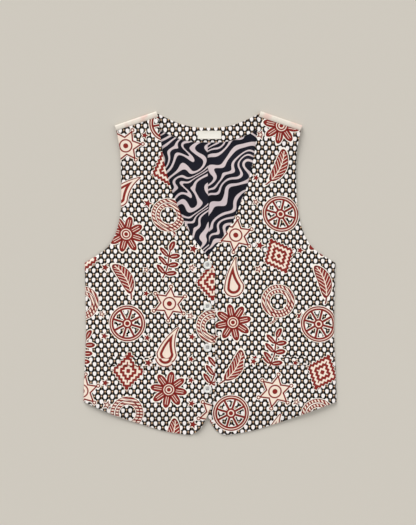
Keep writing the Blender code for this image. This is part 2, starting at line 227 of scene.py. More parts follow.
def cloth_piece(name, columns, rows, place, material, wall, outside=-1, keep=None, on_roll=as_cut):
    """A sheet whose points and flat cut place(column, row) gives, turned into a wall with soft rims.

    Outside is -1 where the sheet is the wall's upper side and 1 where it is the lower. The UV map "Cut" is
    the piece's flat cut in metres, put where it was cut from the roll of cloth. Gives the piece, its flat
    width and length, and its flat area."""
    grid = bmesh.new()
    bmesh.ops.create_grid(grid, x_segments=len(columns) - 1, y_segments=len(rows) - 1, size=1)
    cell, cut = {}, {}
    for point in grid.verts:
        column = round((point.co.x + 1) / 2 * (len(columns) - 1))
        row = round((point.co.y + 1) / 2 * (len(rows) - 1))
        cell[point] = (column, row)
    for point, (column, row) in cell.items():
        point.co, cut[point] = place(columns[column], rows[row])
    if keep:
        dropped = []
        for face in grid.faces:
            column = min(cell[point][0] for point in face.verts)
            row = min(cell[point][1] for point in face.verts)
            if not keep(column, row):
                dropped.append(face)
        bmesh.ops.delete(grid, geom=dropped, context="FACES")
    area = 0.0
    uv = grid.loops.layers.uv.new("Cut")
    for face in grid.faces:
        for corner in face.loops:
            corner[uv].uv = on_roll(cut[corner.vert])
        a, b, c, d = (cut[point] for point in face.verts)
        area += abs((c - a).cross(d - b)) / 2
    flat = [max(p[i] for p in cut.values()) - min(p[i] for p in cut.values()) for i in (0, 1)]
    piece = as_piece(name, grid, material)
    solid = piece.modifiers.new("Wall", "SOLIDIFY")
    solid.thickness = wall
    solid.offset = outside
    solid.use_even_offset = True
    rim = piece.modifiers.new("Soft rim", "BEVEL")
    rim.width = wall * 0.32
    rim.segments = 3
    rim.limit_method = "ANGLE"
    rim.angle_limit = math.radians(50)
    return piece, flat, area


class Amount:
    """A number that changes over a surface, worked out by the shader's nodes."""

    def __init__(self, socket):
        self.socket = socket
        self.tree = socket.id_data

    def math(self, operation, *others):
        node = self.tree.nodes.new("ShaderNodeMath")
        node.operation = operation
        for slot, value in zip(node.inputs, (self, *others)):
            if isinstance(value, Amount):
                self.tree.links.new(value.socket, slot)
            else:
                slot.default_value = value
        return Amount(node.outputs[0])

    __add__ = partialmethod(math, "ADD")
    __sub__ = partialmethod(math, "SUBTRACT")
    __mul__ = partialmethod(math, "MULTIPLY")
    __truediv__ = partialmethod(math, "DIVIDE")
    __neg__ = partialmethod(math, "MULTIPLY", -1.0)
    __abs__ = partialmethod(math, "ABSOLUTE")

    def __rsub__(self, other):
        return -self + other

    def least(self, *others):
        return reduce(lambda found, other: found.math("MINIMUM", other), others, self)

    def most(self, *others):
        return reduce(lambda found, other: found.math("MAXIMUM", other), others, self)

    def wrapped(self, half):
        """The rest after whole repeats, from -half to half."""
        return self.math("WRAP", half, -half)

    def folded(self, span):
        """Rises from 0 to span and falls back, over and over."""
        return self.math("PINGPONG", span)

    def ramp(self, low, high):
        """0 at low, 1 at high, straight between them."""
        node = self.tree.nodes.new("ShaderNodeMapRange")
        self.tree.links.new(self.socket, node.inputs["Value"])
        node.inputs["From Min"].default_value = low
        node.inputs["From Max"].default_value = high
        return Amount(node.outputs["Result"])

    def below(self, level, soft=0.24):
        """1 where the number is under the level and 0 over it, with a soft edge."""
        return self.ramp(level + soft / 2, level - soft / 2)


def length(x, y):
    return (y.math("MULTIPLY_ADD", y, x * x)).math("SQRT")


def new_material(name, roughness, **constants):
    """A material whose shader has these constants on its own sockets."""
    material = bpy.data.materials.new(name)
    material.use_nodes = True
    shader = material.node_tree.nodes["Principled BSDF"]
    for socket, value in {"Roughness": roughness, **constants}.items():
        shader.inputs[socket.replace("_", " ")].default_value = value
    return material


def parts_of(socket):
    """The three parts of a vector or a colour."""
    node = socket.id_data.nodes.new("ShaderNodeSeparateXYZ")
    socket.id_data.links.new(socket, node.inputs["Vector"])
    return [Amount(part) for part in node.outputs]


def vector_of(x, y, z=0.0):
    """The socket of the place with the amounts x and y and the number z."""
    node = x.tree.nodes.new("ShaderNodeCombineXYZ")
    x.tree.links.new(x.socket, node.inputs["X"])
    x.tree.links.new(y.socket, node.inputs["Y"])
    node.inputs["Z"].default_value = z
    return node.outputs["Vector"]


def cut_place(material):
    """The two measures of the flat cut, in millimetres."""
    node = material.node_tree.nodes.new("ShaderNodeUVMap")
    node.uv_map = "Cut"
    x, y, _ = parts_of(node.outputs["UV"])
    return x * 1000.0, y * 1000.0


def noise(x, y, size, detail=2.0, offset=0.0):
    """Soft noise from 0 to 1 whose spots are about "size" across."""
    node = x.tree.nodes.new("ShaderNodeTexNoise")
    node.noise_dimensions = "2D"
    x.tree.links.new(vector_of(x / size + offset, y / size), node.inputs["Vector"])
    node.inputs["Scale"].default_value = 1.0
    node.inputs["Detail"].default_value = detail
    return Amount(node.outputs["Fac"])


# The mix node has the same socket names for numbers, so its sockets for colours go by their place.
COLOURS_OF_MIX = slice(6, 8)
RESULT_OF_MIX = 2


def as_linear(red, green, blue):
    """A colour of the screen, from 0 to 255, as the shader's linear one."""
    shares = [level / 255 for level in (red, green, blue)]
    return (*[s / 12.92 if s <= 0.04045 else ((s + 0.055) / 1.055) ** 2.4 for s in shares], 1.0)


def mixed(under, over, share):
    """The colour "over" laid on the colour "under". Each is a colour or the socket of one."""
    node = share.tree.nodes.new("ShaderNodeMix")
    node.data_type = "RGBA"
    share.tree.links.new(share.socket, node.inputs["Factor"])
    for slot, colour in zip(node.inputs[COLOURS_OF_MIX], (under, over)):
        if isinstance(colour, tuple):
            slot.default_value = colour
        else:
            share.tree.links.new(colour, slot)
    return node.outputs[RESULT_OF_MIX]


def painted(material, colour, height=None, relief=0.0):
    """The material with its colour, and bump of a height from 0 to 1 with a relief in millimetres."""
    tree = material.node_tree
    shader = tree.nodes["Principled BSDF"]
    tree.links.new(colour, shader.inputs["Base Color"])
    if height:
        bump = tree.nodes.new("ShaderNodeBump")
        bump.inputs["Distance"].default_value = relief / 1000
        tree.links.new(height.socket, bump.inputs["Height"])
        tree.links.new(bump.outputs["Normal"], shader.inputs["Normal"])
    return material


def threads(x, width):
    """From 1 on one thread to -1 on the next, for threads of such a width side by side."""
    return (x * (math.pi / width)).math("SINE")


# Widths of threads and ribs on the flat cut are in millimetres.
FLOAT_WIDTH = 0.3
SATIN_IVORY = (as_linear(219, 211, 198), as_linear(231, 224, 212))
SATIN_PEACH = as_linear(224, 190, 178)


def satin_material():
    """Ivory satin with a faint peach cloud, its long floats running up the garment."""
    material = new_material("ivory satin", 0.42, Specular_IOR_Level=0.3, Sheen_Weight=0.06)
    x, y = cut_place(material)
    cloud = noise(x, y, 26.0).ramp(0.44, 0.66)
    slub = noise(x, y / 9.0, 1.1)
    colour = mixed(mixed(*SATIN_IVORY, slub), SATIN_PEACH, cloud * 0.8)
    floats = threads(x, FLOAT_WIDTH) * 0.5 + 0.5
    return painted(material, colour, floats * 0.4 + slub * 0.6, 0.03)


NECK_COLUMNS = 70
SHOULDER_COLUMNS = 46
BACK_ROWS = 150
FOLD_ROWS = 16
FLAP_ROWS = 6


def back_edges():
    outer = outer_edge(BACK_INSET)
    hem = smooth_path(points_of(BACK_HEM)[:-1] + [outer(0)])
    neckline = smooth_path(points_of(NECKLINE)[:-1] + [fold_at(0, FOLD_RADIUS)])
    neck_share = NECK_COLUMNS / (NECK_COLUMNS + SHOULDER_COLUMNS)

    def top(u):
        if u <= neck_share:
            return neckline(u / neck_share)
        return fold_at((u - neck_share) / (1 - neck_share), FOLD_RADIUS)

    def side_edge(v):
        return outer(v) + (top(1) - outer(1)) * smoothstep(0.85, 1, v)

    return straight(hem(0), top(0)), side_edge, hem, top


def back_place():
    """Where a point of the back goes: flat, then round the shoulder's fold, then down to the seam."""
    edges = back_edges()
    columns = NECK_COLUMNS + SHOULDER_COLUMNS

    def place(column, row):
        side = 1 if column > 0 else -1
        away = abs(column)
        if row <= BACK_ROWS:
            plan = patch_point(edges, away / columns, row / BACK_ROWS)
            return on_side(side, plan, 0, plan)
        share = max(0.0, (away - NECK_COLUMNS) / SHOULDER_COLUMNS)
        turned = min(1.0, (row - BACK_ROWS) / FOLD_ROWS)
        over = max(0, row - BACK_ROWS - FOLD_ROWS) / FLAP_ROWS
        turn = math.pi * turned
        inward = FOLD_RADIUS * (1 - math.sin(turn))
        inward += (flap_at(share) - inward) * over
        plan = fold_at(share, inward)
        puff = 0.0004 * math.sin(math.pi * over) - 0.0005 * over**3
        height = FOLD_RADIUS * (1 - math.cos(turn)) + puff
        past = math.pi * FOLD_RADIUS * turned + (flap_at(share) - FOLD_RADIUS) * over
        cut = fold_at(share, FOLD_RADIUS) - FOLD_INWARD * past
        return on_side(side, plan, height, cut)

    return place


def keep_back(column, row):
    across = column - NECK_COLUMNS - SHOULDER_COLUMNS
    return row < BACK_ROWS or not -NECK_COLUMNS <= across < NECK_COLUMNS


satin = satin_material()
back_columns = list(range(-NECK_COLUMNS - SHOULDER_COLUMNS, NECK_COLUMNS + SHOULDER_COLUMNS + 1))
back_rows = list(range(BACK_ROWS + FOLD_ROWS + FLAP_ROWS + 1))
back, flat, area = cloth_piece(
    "back_satin", back_columns, back_rows, back_place(), satin, BACK_WALL, 1, keep_back
)
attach(back, "root")
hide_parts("back")


# The lining of the back shows in the V. It is two halves of dark printed satin, and the wearer's right half
# laps over the left one down the middle as a soft pleat. Its upper edge is sewn to the neck facing.
LINING_WALL = 0.0010
LINING_TOP = BACK_WALL + SEAM_GAP + LINING_WALL
LINING_INSET = 0.0060
LINING_HEM_UP = 0.014
LINING_FOLD_GAP = 0.0012
PLEAT_EDGE = -0.0015
PLEAT_LAP = 0.0060
PLEAT_TURN = 0.0095
PLEAT_FOOT = 0.0135
PLEAT_RISE = LINING_WALL + LAYER_GAP
SEAM_SHARE = 0.62
FACING_EDGE = (
    Station("middle", 0.0000, 0.5256),
    Station("inner", 0.0250, 0.5263),
    Station("mid", 0.0450, 0.5300),
    Station("outer", 0.0650, 0.5370),
    Station("under the front", 0.0850, 0.5480),
    Station("shoulder", 0.1090, 0.5722),
)


# The stripes are even bands that run aslant up the cloth and are bent sideways and up in turn, each time by
# one long and one short wave. A wave has its reach and length in millimetres, and where it starts.
STRIPE_PITCH = 15.5
STRIPE_NAVY = (as_linear(6, 6, 11), as_linear(34, 34, 47))
STRIPE_LILAC = (as_linear(198, 185, 191), as_linear(226, 209, 208))
Wave = namedtuple("Wave", "reach length start")
STRIPE_BENDS = (
    (Wave(7.5, 62.0, 1.5), Wave(1.5, 33.0, 1.4)),
    (Wave(7.5, 66.0, 2.4), Wave(1.5, 35.0, 0.5)),
    (Wave(7.0, 74.0, 3.6), Wave(1.2, 41.0, 2.9)),
    (Wave(6.0, 80.0, 0.6), Wave(1.2, 43.0, 3.0)),
)


def swing(place, wave):
    return (place * (2 * math.pi / wave.length) + wave.start).math("SINE") * wave.reach


def lining_material():
    """Dark navy satin with meandering pale lilac bands, a common animal stripe, and a soft sheen."""
    material = new_material("striped satin", 0.42, Specular_IOR_Level=0.1, Sheen_Weight=0.01)
    x, y = cut_place(material)
    bent = [x, y]
    for number, (long, short) in enumerate(STRIPE_BENDS):
        other = bent[1 - number % 2]
        bent[number % 2] = bent[number % 2] + swing(other, long) + swing(other, short)
    across, up = bent
    loops = swing(across, Wave(10.0, 90.0, 1.0)) * swing(up, Wave(1.0, 76.0, 2.0))
    phase = ((up - across) * 0.7 + loops) * (2 * math.pi / STRIPE_PITCH)
    light = (-phase.math("COSINE")).below(-0.42, 0.1)
    shade = noise(x, y, 60.0, 1.0, 11.0)
    dark, pale = mixed(*STRIPE_NAVY, shade), mixed(*STRIPE_LILAC, shade)
    return painted(material, mixed(dark, pale, light), threads(x, FLOAT_WIDTH) * 0.5 + 0.5, 0.02)


def lining_edges(side):
    outer = outer_edge(LINING_INSET)
    hem_corner = outer(0) + Vector((0, LINING_HEM_UP))
    start = PLEAT_EDGE - PLEAT_LAP if side > 0 else -PLEAT_EDGE
    hem_middle = Vector((start, BACK_HEM[0].up + LINING_HEM_UP))
    facing_edge = smooth_path(points_of(FACING_EDGE))
    below_facing = Vector((0, -1.5 * SEAM_GAP))
    tip = fold_at(1, FOLD_RADIUS + LINING_FOLD_GAP)

    def seam(share):
        to_start = Vector((start * max(0.0, 1 - share * 8), 0))
        return facing_edge(share) + to_start + below_facing

    def side_edge(v):
        if v < 0.06:
            return hem_corner.lerp(outer(0.06), v / 0.06)
        return outer(v) + (tip - outer(1)) * smoothstep(0.8, 1, v)

    top = joined(seam, straight(seam(1), tip), SEAM_SHARE)
    return straight(hem_middle, top(0)), side_edge, straight(hem_middle, hem_corner), top


def lining_place(side):
    edges = lining_edges(side)

    def place(u, v):
        plan = patch_point(edges, abs(u), v)
        rise = PLEAT_RISE * smoothstep(PLEAT_FOOT, PLEAT_TURN, plan.x) if side < 0 else 0
        return on_side(side, plan, LINING_TOP + rise, plan)

    return place


def columns_of(side, columns):
    """The columns of one half from left to right: those of the wearer's right half run below 0."""
    return columns if side > 0 else [-u for u in reversed(columns)]


stripes = lining_material()
LINING_COLUMNS = even(0, 0.08, 16)[:-1] + even(0.08, 1, 88)
LINING_ROWS = even(0, 1, 120)
for side, name, shift in (
    (-1, "lining_right", Vector((0.21, 0.04))),
    (1, "lining_left", Vector((0.02, 0.31))),
):
    lining, flat, area = cloth_piece(
        f"{name}_satin", columns_of(side, LINING_COLUMNS), LINING_ROWS, lining_place(side), stripes,
        LINING_WALL, on_roll=lambda cut: cut + shift,
    )
    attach(lining, "root")
    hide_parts(name)


# The neck facing is a shaped band inside the back of the neck. It is cut from the fronts' printed cotton,
# joined to the lining below, and turned in at the neckline above. It comes from the cloth's plain border.
# The print is a lattice of white ovals under black arches, with rust and cream figures scattered over it.
PRINT_ACROSS = 13.0
PRINT_UP = 16.75
COTTON_THREAD = 0.42
PRINT_BLACK = as_linear(4, 4, 5)
PRINT_LINE = as_linear(120, 96, 76)
PRINT_TAN = as_linear(206, 172, 140)
PRINT_WHITE = as_linear(246, 241, 240)
PRINT_HALO = as_linear(250, 242, 231)
PRINT_CREAM = as_linear(244, 227, 211)
PRINT_RUST = (as_linear(106, 20, 18), as_linear(138, 41, 36))
PRINT_FADE = as_linear(226, 214, 202)


def oval_lattice(x, y):
    """The ground of the print, in millimetres: how white, how tan and how grey its black is printed over.

    A white oval under a round arch, a tan knot above it and below it, and a thin line that joins them."""
    rows = []
    for half in (0, 0.5):
        away = abs((x + PRINT_ACROSS * half).wrapped(PRINT_ACROSS / 2))
        up = (y + PRINT_UP * half).wrapped(PRINT_UP / 2)
        oval = (length(away / 3.2, up.most(0.0) / 2.8 - up.least(0.0) / 5.2) - 1.0) * 3.2
        lower_arch = 5.6 - length(away - PRINT_ACROSS / 2, (up + PRINT_UP / 2) * 0.9)
        oval = oval.most(lower_arch).below(0.0, 0.3)
        knot = length(away / 1.4, (PRINT_UP / 2 - abs(up)) / 1.2).below(1.0, 0.5)
        rows.append((oval, knot, away.below(0.4, 0.4)))
    return [first.most(second) for first, second in zip(*rows)]


def sector(x, y, points):
    """The place folded into one of the equal sectors round the middle: outwards, and away from its line."""
    out = length(x, y)
    turn = y.math("ARCTAN2", x).folded(math.pi / points)
    return out * turn.math("COSINE"), out * turn.math("SINE")


def star_shape(x, y, points, tip, notch):
    """The distance to a star whose tips and notches are so far out."""
    out, away = sector(x, y, points)
    corner = Vector((notch * math.cos(math.pi / points), notch * math.sin(math.pi / points)))
    along = (corner - Vector((tip, 0))).normalized()
    return (out - tip) * along.y - away * along.x


def oval_shape(x, y, half_width, half_height):
    return (length(x / half_width, y / half_height) - 1.0) * min(half_width, half_height)


def turned(x, y, angle):
    cosine, sine = math.cos(angle), math.sin(angle)
    return x * cosine + y * sine, y * cosine - x * sine


# Each figure gives two distances in millimetres, below 0 inside: its outline, and what is left cream in it.
def wagon_wheel(x, y):
    out, away = sector(x, y, 8)
    from_middle = length(x, y)
    rim = abs(from_middle - 25.0) - 3.2
    spokes = (away - 1.7).most(from_middle - 24.0)
    outline = rim.least(spokes, from_middle - 8.0)
    return outline, (abs(from_middle - 25.4) - 0.6).least(abs(from_middle - 4.3) - 0.9)


def feather(x, y):
    bent = x + y * y * 0.008 - 3.0
    vane = oval_shape(bent, y - 4.0, 10.5, 27.0)
    quill = (abs(bent) - 1.3).most(abs(y + 22.0) - 10.0)
    barbs = (y - abs(bent) * 1.2).folded(3.3) - 0.75
    return vane.least(quill), barbs.least(abs(bent) - 0.8).most(vane + 1.2)


def paisley(x, y):
    bent = x - (y + 11.0).most(0.0) * (y + 11.0) * 0.009 + 4.0
    along = y.most(-13.0).least(29.0)
    outline = length(bent, y - along) - (along * -0.33 + 11.8)
    return outline, (abs(outline + 3.6) - 1.7).least(outline + 9.4)


def desert_flower(x, y):
    out, away = sector(x, y, 8)
    petals = oval_shape(out - 17.5, away, 11.5, 5.9)
    heart = length(x, y) - 8.4
    veins = (abs(away - 1.6) - 0.45).most(abs(out - 17.5) - 6.0)
    rings = (abs(heart + 0.6) - 0.7).least(abs(heart + 4.4) - 0.9)
    return petals.least(heart), veins.least(rings)


def leaf_sprig(x, y):
    bent = x + (y * 0.08).math("SINE") * 3.0
    stem = (abs(bent) - 1.2).most(abs(y + 6.0) - 24.0)
    out, away = turned(abs(bent), (y + 4.1).wrapped(6.8) + 4.6, math.radians(28))
    leaf = oval_shape(out - 10.0, away, 9.0, 3.9).most(abs(y + 4.1) - 19.0)
    last = oval_shape(bent, y - 23.5, 4.2, 8.0)
    ribs = (abs(away) - 0.4).most(abs(out - 9.0) - 5.0, y - 16.2)
    return stem.least(leaf, last), ribs.least((abs(bent) - 0.4).most(abs(y - 22.5) - 4.5))


def serrated_diamond(x, y):
    steps = (abs(x) - abs(y)).folded(4.4) * 0.62
    outline = (abs(x) * 1.2 + abs(y)) * 0.66 + steps - 21.5
    return outline, -(outline + 2.2).folded(4.4) + 2.5


def ball_star(x, y):
    out, away = sector(x, y, 6)
    from_middle = length(x, y)
    star = star_shape(x, y, 6, 27.0, 14.8)
    tip = length(out - 27.0, away) - 3.2
    ring = abs(from_middle - 9.6) - 1.1
    return star.least(tip), (star + 2.3).most(-ring, 4.0 - from_middle).least(tip + 1.6)


def rope_coil(x, y):
    outer_turn = abs(length(x, y) - 23.0) - 2.9
    inner_turn = abs(length(x - 0.9, y + 0.7) - 16.6) - 2.9
    tail = abs(x + (y * 0.26).math("SINE") * 3.4 - 3.0).most(abs(y + 29.0) - 7.5) - 1.6
    outline = outer_turn.least(inner_turn, tail)
    twist = (x * 0.8 + y).folded(3.0) - 1.5
    return outline, (outline + 1.0).most(-twist)


FIGURES = (wagon_wheel, feather, desert_flower, paisley, ball_star, leaf_sprig, rope_coil, serrated_diamond)
FIGURE_ACROSS = 78.0
FIGURE_UP = 80.0
FIGURE_SCALE = 1.14
PLAIN_BORDER = 900.0


def random_numbers(x, y, seed):
    """Three numbers from 0 to 1 that hang on the whole numbers x and y."""
    node = x.tree.nodes.new("ShaderNodeTexWhiteNoise")
    node.noise_dimensions = "3D"
    x.tree.links.new(vector_of(x, y, seed), node.inputs["Vector"])
    return parts_of(node.outputs["Color"])


def half_drop(x, y, across, up):
    """The column and row of the repeat that a point lies in, and its place from the middle of it."""
    column = (x / across).math("FLOOR")
    shifted = y + column.math("MODULO", 2.0) * (up / 2)
    row = (shifted / up).math("FLOOR")
    return column, row, x - (column + 0.5) * across, shifted - (row + 0.5) * up


def on_border(x):
    """A large distance on the cloth's border, which has the lattice only."""
    return (-x).below(-PLAIN_BORDER, 0.01) * 100.0


def scattered_figures(x, y):
    """The outline and the cream of whichever figure lies nearest, from a half-drop repeat."""
    column, row, away, up = half_drop(x, y, FIGURE_ACROSS, FIGURE_UP)
    first, second, third = random_numbers(column, row, 4.0)
    away = away - (first - 0.5) * 7.0
    up = up - (second - 0.5) * 8.0
    angle = (third - 0.5) * 1.2
    cosine, sine = angle.math("COSINE"), angle.math("SINE")
    across_figure = (away * cosine + up * sine) / FIGURE_SCALE
    up_figure = (up * cosine - away * sine) / FIGURE_SCALE
    kind = (column * 3.0 + row).math("FLOORED_MODULO", float(len(FIGURES)))
    outline = bare = 0.0
    for number, figure in enumerate(FIGURES):
        chosen = kind.math("COMPARE", float(number), 0.5)
        own_outline, own_bare = figure(across_figure, up_figure)
        outline = chosen.math("MULTIPLY_ADD", own_outline, outline)
        bare = chosen.math("MULTIPLY_ADD", own_bare, bare)
    return outline + on_border(x), bare


def small_stars(x, y):
    """Little stars between the columns of figures. Some are only outlined, and some are left out."""
    column = (x / FIGURE_ACROSS + 0.5).math("FLOOR")
    row = (y / (FIGURE_UP / 2)).math("FLOOR")
    first, second, third = random_numbers(column, row, 9.0)
    away = x - column * FIGURE_ACROSS - (first - 0.5) * 8.0
    up = y - (row + 0.5) * (FIGURE_UP / 2) - (second - 0.5) * 9.0
    size = first * 0.3 + 0.85
    star = star_shape(away / size, up / size, 5, 7.4, 3.3) + third.below(0.3, 0.01) * 100.0 + on_border(x)
    return star, star + 1.5 + third.below(0.7, 0.01) * 100.0


def print_material():
    """Printed cotton: lattice ground, figures with a pale rim, a plain weave and a soft, dull face."""
    material = new_material(
        "printed cotton", 0.86, Specular_IOR_Level=0.05, Sheen_Weight=0.01
    )
    x, y = cut_place(material)
    slub = noise(x, y, 0.9)
    white, tan, grey = oval_lattice(x, y)
    outline, bare = scattered_figures(x, y)
    star, star_bare = small_stars(x, y)
    star = star.most(-outline + 3.0)
    outline_all = outline.least(star)
    ink = (outline.below(0.0) * (-bare).below(0.0)).most(star.below(0.0) * (-star_bare).below(0.0))
    colour = PRINT_BLACK
    for over, share in (
        (PRINT_LINE, grey),
        (PRINT_TAN, tan),
        (PRINT_WHITE, white),
        (PRINT_HALO, outline_all.below(1.15, 0.5)),
        (PRINT_CREAM, outline_all.below(0.0)),
        (mixed(*PRINT_RUST, (-outline_all).ramp(0.2, 1.6)), ink),
        (PRINT_FADE, slub.ramp(0.35, 0.95) * 0.03),
    ):
        colour = mixed(colour, over, share)
    weave = threads(x, COTTON_THREAD) * threads(y, COTTON_THREAD) * 0.5 + 0.5
    return painted(material, colour, weave * 0.7 + slub * 0.3, 0.05)


def cut_from(turn, shift):
    """Where a printed piece lay on the roll: a little off the print, and the print itself wanders."""
    rotation = Matrix.Rotation(turn, 2)

    def on_roll(cut):
        sway = Vector((0.0009 * math.sin(cut.y * 31 + 1), 0.0008 * math.sin(cut.x * 27 + cut.y * 9)))
        return rotation @ cut + shift + sway

    return on_roll


def facing_place():
    lower = smooth_path(points_of(FACING_EDGE))
    end = fold_at(0, FOLD_RADIUS + SEAM_GAP)
    upper = smooth_path(points_of(NECKLINE)[:-1] + [end])
    corner = points_of(FACING_EDGE)[-1]
    edges = (straight(lower(0), upper(0)), straight(corner, end), lower, upper)

    def place(u, v):
        plan = patch_point(edges, abs(u), v)
        return on_side(1 if u > 0 else -1, plan, LINING_TOP, plan)

    return place


cotton = print_material()
facing, flat, area = cloth_piece(
    "neck_facing_cotton", even(-1, 1, 200), even(0, 1, 24), facing_place(), cotton, LINING_WALL,
    on_roll=cut_from(math.radians(-1), Vector((1.2, 0.27))),
)
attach(facing, "root")
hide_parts("neck_facing")


# The label is a short piece of cream woven tape with nothing on it. It lies on the neck facing and is
# sewn down along its two short ends with a few small stitches.
LABEL_WALL = 0.0010
LABEL_LENGTH = 0.0425
LABEL_WIDTH = 0.0148
LABEL_MIDDLE = Vector((0.0017, 0.5389))
LABEL_STITCHES = 7
LABEL_STITCH_IN = 0.0011
LABEL_STITCH_HALF = 0.0007
PLY_WIDTH = 0.00014
TAPE_RIB = 0.28
TAPE_CREAM = (as_linear(236, 232, 221), as_linear(246, 243, 235))
TAPE_EDGE = as_linear(226, 220, 205)


def surface_of(piece):
    """A function that gives the height of a piece's upper side at a point of the plan."""
    bpy.context.view_layer.update()
    tree = BVHTree.FromObject(piece, bpy.context.evaluated_depsgraph_get())

    def height(plan):
        high_above = settle(plan.x, plan.y, LENGTH)
        return tree.ray_cast(high_above, Vector((0, 0, -1)))[0].z

    return height


def directions(slant):
    """The unit vector at an angle on the plan, and the one across it to the left."""
    return Vector((math.cos(slant), math.sin(slant))), Vector((-math.sin(slant), math.cos(slant)))


def strip_place(size, middle, slant, height_at, wall, lift):
    """A straight strip on its carrier. lift(u, v) adds to its height, and u and v run from -1 to 1."""
    along, over = directions(slant)

    def place(u, v):
        plan = middle + along * size[0] / 2 * u + over * size[1] / 2 * v
        height = height_at(plan) + LAYER_GAP + wall + lift(u, v)
        return settle(plan.x, plan.y, height), Vector((u * size[0] / 2, v * size[1] / 2))

    return place


def tube(mesh, points, radius, sides=6):
    """Adds a round thread along the points, with closed ends, to a bmesh."""
    last = len(points) - 1
    ring = None
    for i, point in enumerate(points):
        along = (points[min(i + 1, last)] - points[max(i - 1, 0)]).normalized()
        turn = along.to_track_quat("Z", "Y").to_matrix().to_4x4()
        end = i in (0, last)
        size = radius * (0.55 if end else 1.0)
        place = Matrix.Translation(point) @ turn
        made = bmesh.ops.create_circle(mesh, cap_ends=end, segments=sides, radius=size, matrix=place)["verts"]
        edges = list({edge for vert in made for edge in vert.link_edges if edge.other_vert(vert) in made})
        if ring:
            bmesh.ops.bridge_loops(mesh, edges=ring + edges)
        ring = edges


Thread = namedtuple("Thread", "radius top sink bend")


def stitch(mesh, middle, reach, height_at, thread):
    """Adds a short thread that lies over the cloth and sinks into it at both ends.

    Top is how high its middle stands, sink how far its ends drop, and bend where between them it turns."""
    points = []
    for share in (-1, -thread.bend, 0, thread.bend, 1):
        plan = middle + reach * share
        points.append(settle(plan.x, plan.y, height_at(plan) + thread.top - thread.sink * share * share))
    tube(mesh, points, thread.radius)


def thread_material(name, colour):
    """Twisted sewing cotton, with painted shade in the grooves between its plies."""
    material = new_material(name, 0.7, Sheen_Weight=0.3)
    place = material.node_tree.nodes.new("ShaderNodeTexCoord")
    x, y, _ = parts_of(place.outputs["Object"])
    ply = (x + y).folded(PLY_WIDTH) / PLY_WIDTH
    # Painted shade: the colour darkens towards the low part of each ply, in the grooves of the twist.
    groove_shade = tuple(level * 0.72 for level in colour[:3]) + (1.0,)
    return painted(material, mixed(groove_shade, colour, ply), ply, 0.03)


def thread_piece(name, mesh, material):
    bmesh.ops.recalc_face_normals(mesh, faces=mesh.faces)
    piece = as_piece(name, mesh, material)
    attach(piece, "root")
    return piece


def label_material():
    """Cream taffeta tape: fine ribs across it and a denser selvedge along its long edges."""
    material = new_material("label tape", 0.6, Specular_IOR_Level=0.2, Sheen_Weight=0.04)
    x, y = cut_place(material)
    ribs = threads(y, TAPE_RIB) * 0.5 + 0.5
    slub = noise(x / 6.0, y, 0.8)
    edge = abs(y).ramp(5.6, 6.6)
    colour = mixed(mixed(*TAPE_CREAM, slub), TAPE_EDGE, edge * 0.6)
    return painted(material, colour, ribs * (edge * -0.4 + 1.0), 0.05)


def label_lift(u, v):
    """The free long edges stand off a little between the sewn ends."""
    return 0.0005 * (1 - u**4) * v * v + 0.0001 * math.sin(5 * u)


LABEL_THREAD = Thread(0.00016, 0.00012, 0.00022, 0.6)
label_size = (LABEL_LENGTH, LABEL_WIDTH)
on_facing = surface_of(facing)
label, flat, area = cloth_piece(
    "label_tape", even(-1, 1, 64), even(-1, 1, 24),
    strip_place(label_size, LABEL_MIDDLE, 0, on_facing, LABEL_WALL, label_lift),
    label_material(), LABEL_WALL,
)
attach(label, "root")
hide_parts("label")

sewing = thread_material("cream thread", as_linear(236, 228, 208))
stitches = bmesh.new()
label_top = surface_of(label)
for end in (-1, 1):
    for number in range(LABEL_STITCHES):
        up = LABEL_WIDTH * ((number + 0.5) / LABEL_STITCHES - 0.5) * 0.94
        middle = LABEL_MIDDLE + Vector((end * (LABEL_LENGTH / 2 - LABEL_STITCH_IN), up))
        stitch(stitches, middle, Vector((0, LABEL_STITCH_HALF)), label_top, LABEL_THREAD)
label_stitches = thread_piece("label_stitches", stitches, sewing)


# The two fronts are printed cotton, turned in at the closing edge, the V, the hem and the armhole, so that
# a seam allowance lies inside each of these edges. The wearer's right front laps over the left one.
FRONT_WALL = 0.0013
CLOSING_SHIFT = -0.0046
OVERLAP_HALF = 0.0135
FRONT_REST_TOP = LINING_TOP + LAYER_GAP + FRONT_WALL
FRONT_BODY_RISE = 0.0021
LAP_RISE = FRONT_WALL + 2 * LAYER_GAP
ARMHOLE_DROOP = 0.0004
ARMHOLE_DROOP_WIDTH = 0.012
HEM_EDGE_TOP = FRONT_WALL + 0.0002
HEM_DROOP_LENGTH = 0.040
SIDE_EDGE_TOP = 0.0012
SIDE_ROLL = 0.006
SIDE_ROLL_FADE = 0.075
SIDE_ROLL_CLOTH = 0.55
RIM_POINTS = 600
OVER_PLEAT = (0.034, 0.018)
OVER_LAP = (0.014, 0.002)
LAP_FADE_UP = (0.40, 0.34)
OVER_BODY = (0.018, 0.100)
SHOULDER_RISE = (0.84, 0.985)
ALLOWANCE = (0.0115, 0.0080)
ALLOWANCE_RISE = 0.00022
BUTTON_PITCH = 0.074
LOWEST_BUTTON_UP = 0.083
BUTTON_COUNT = 4

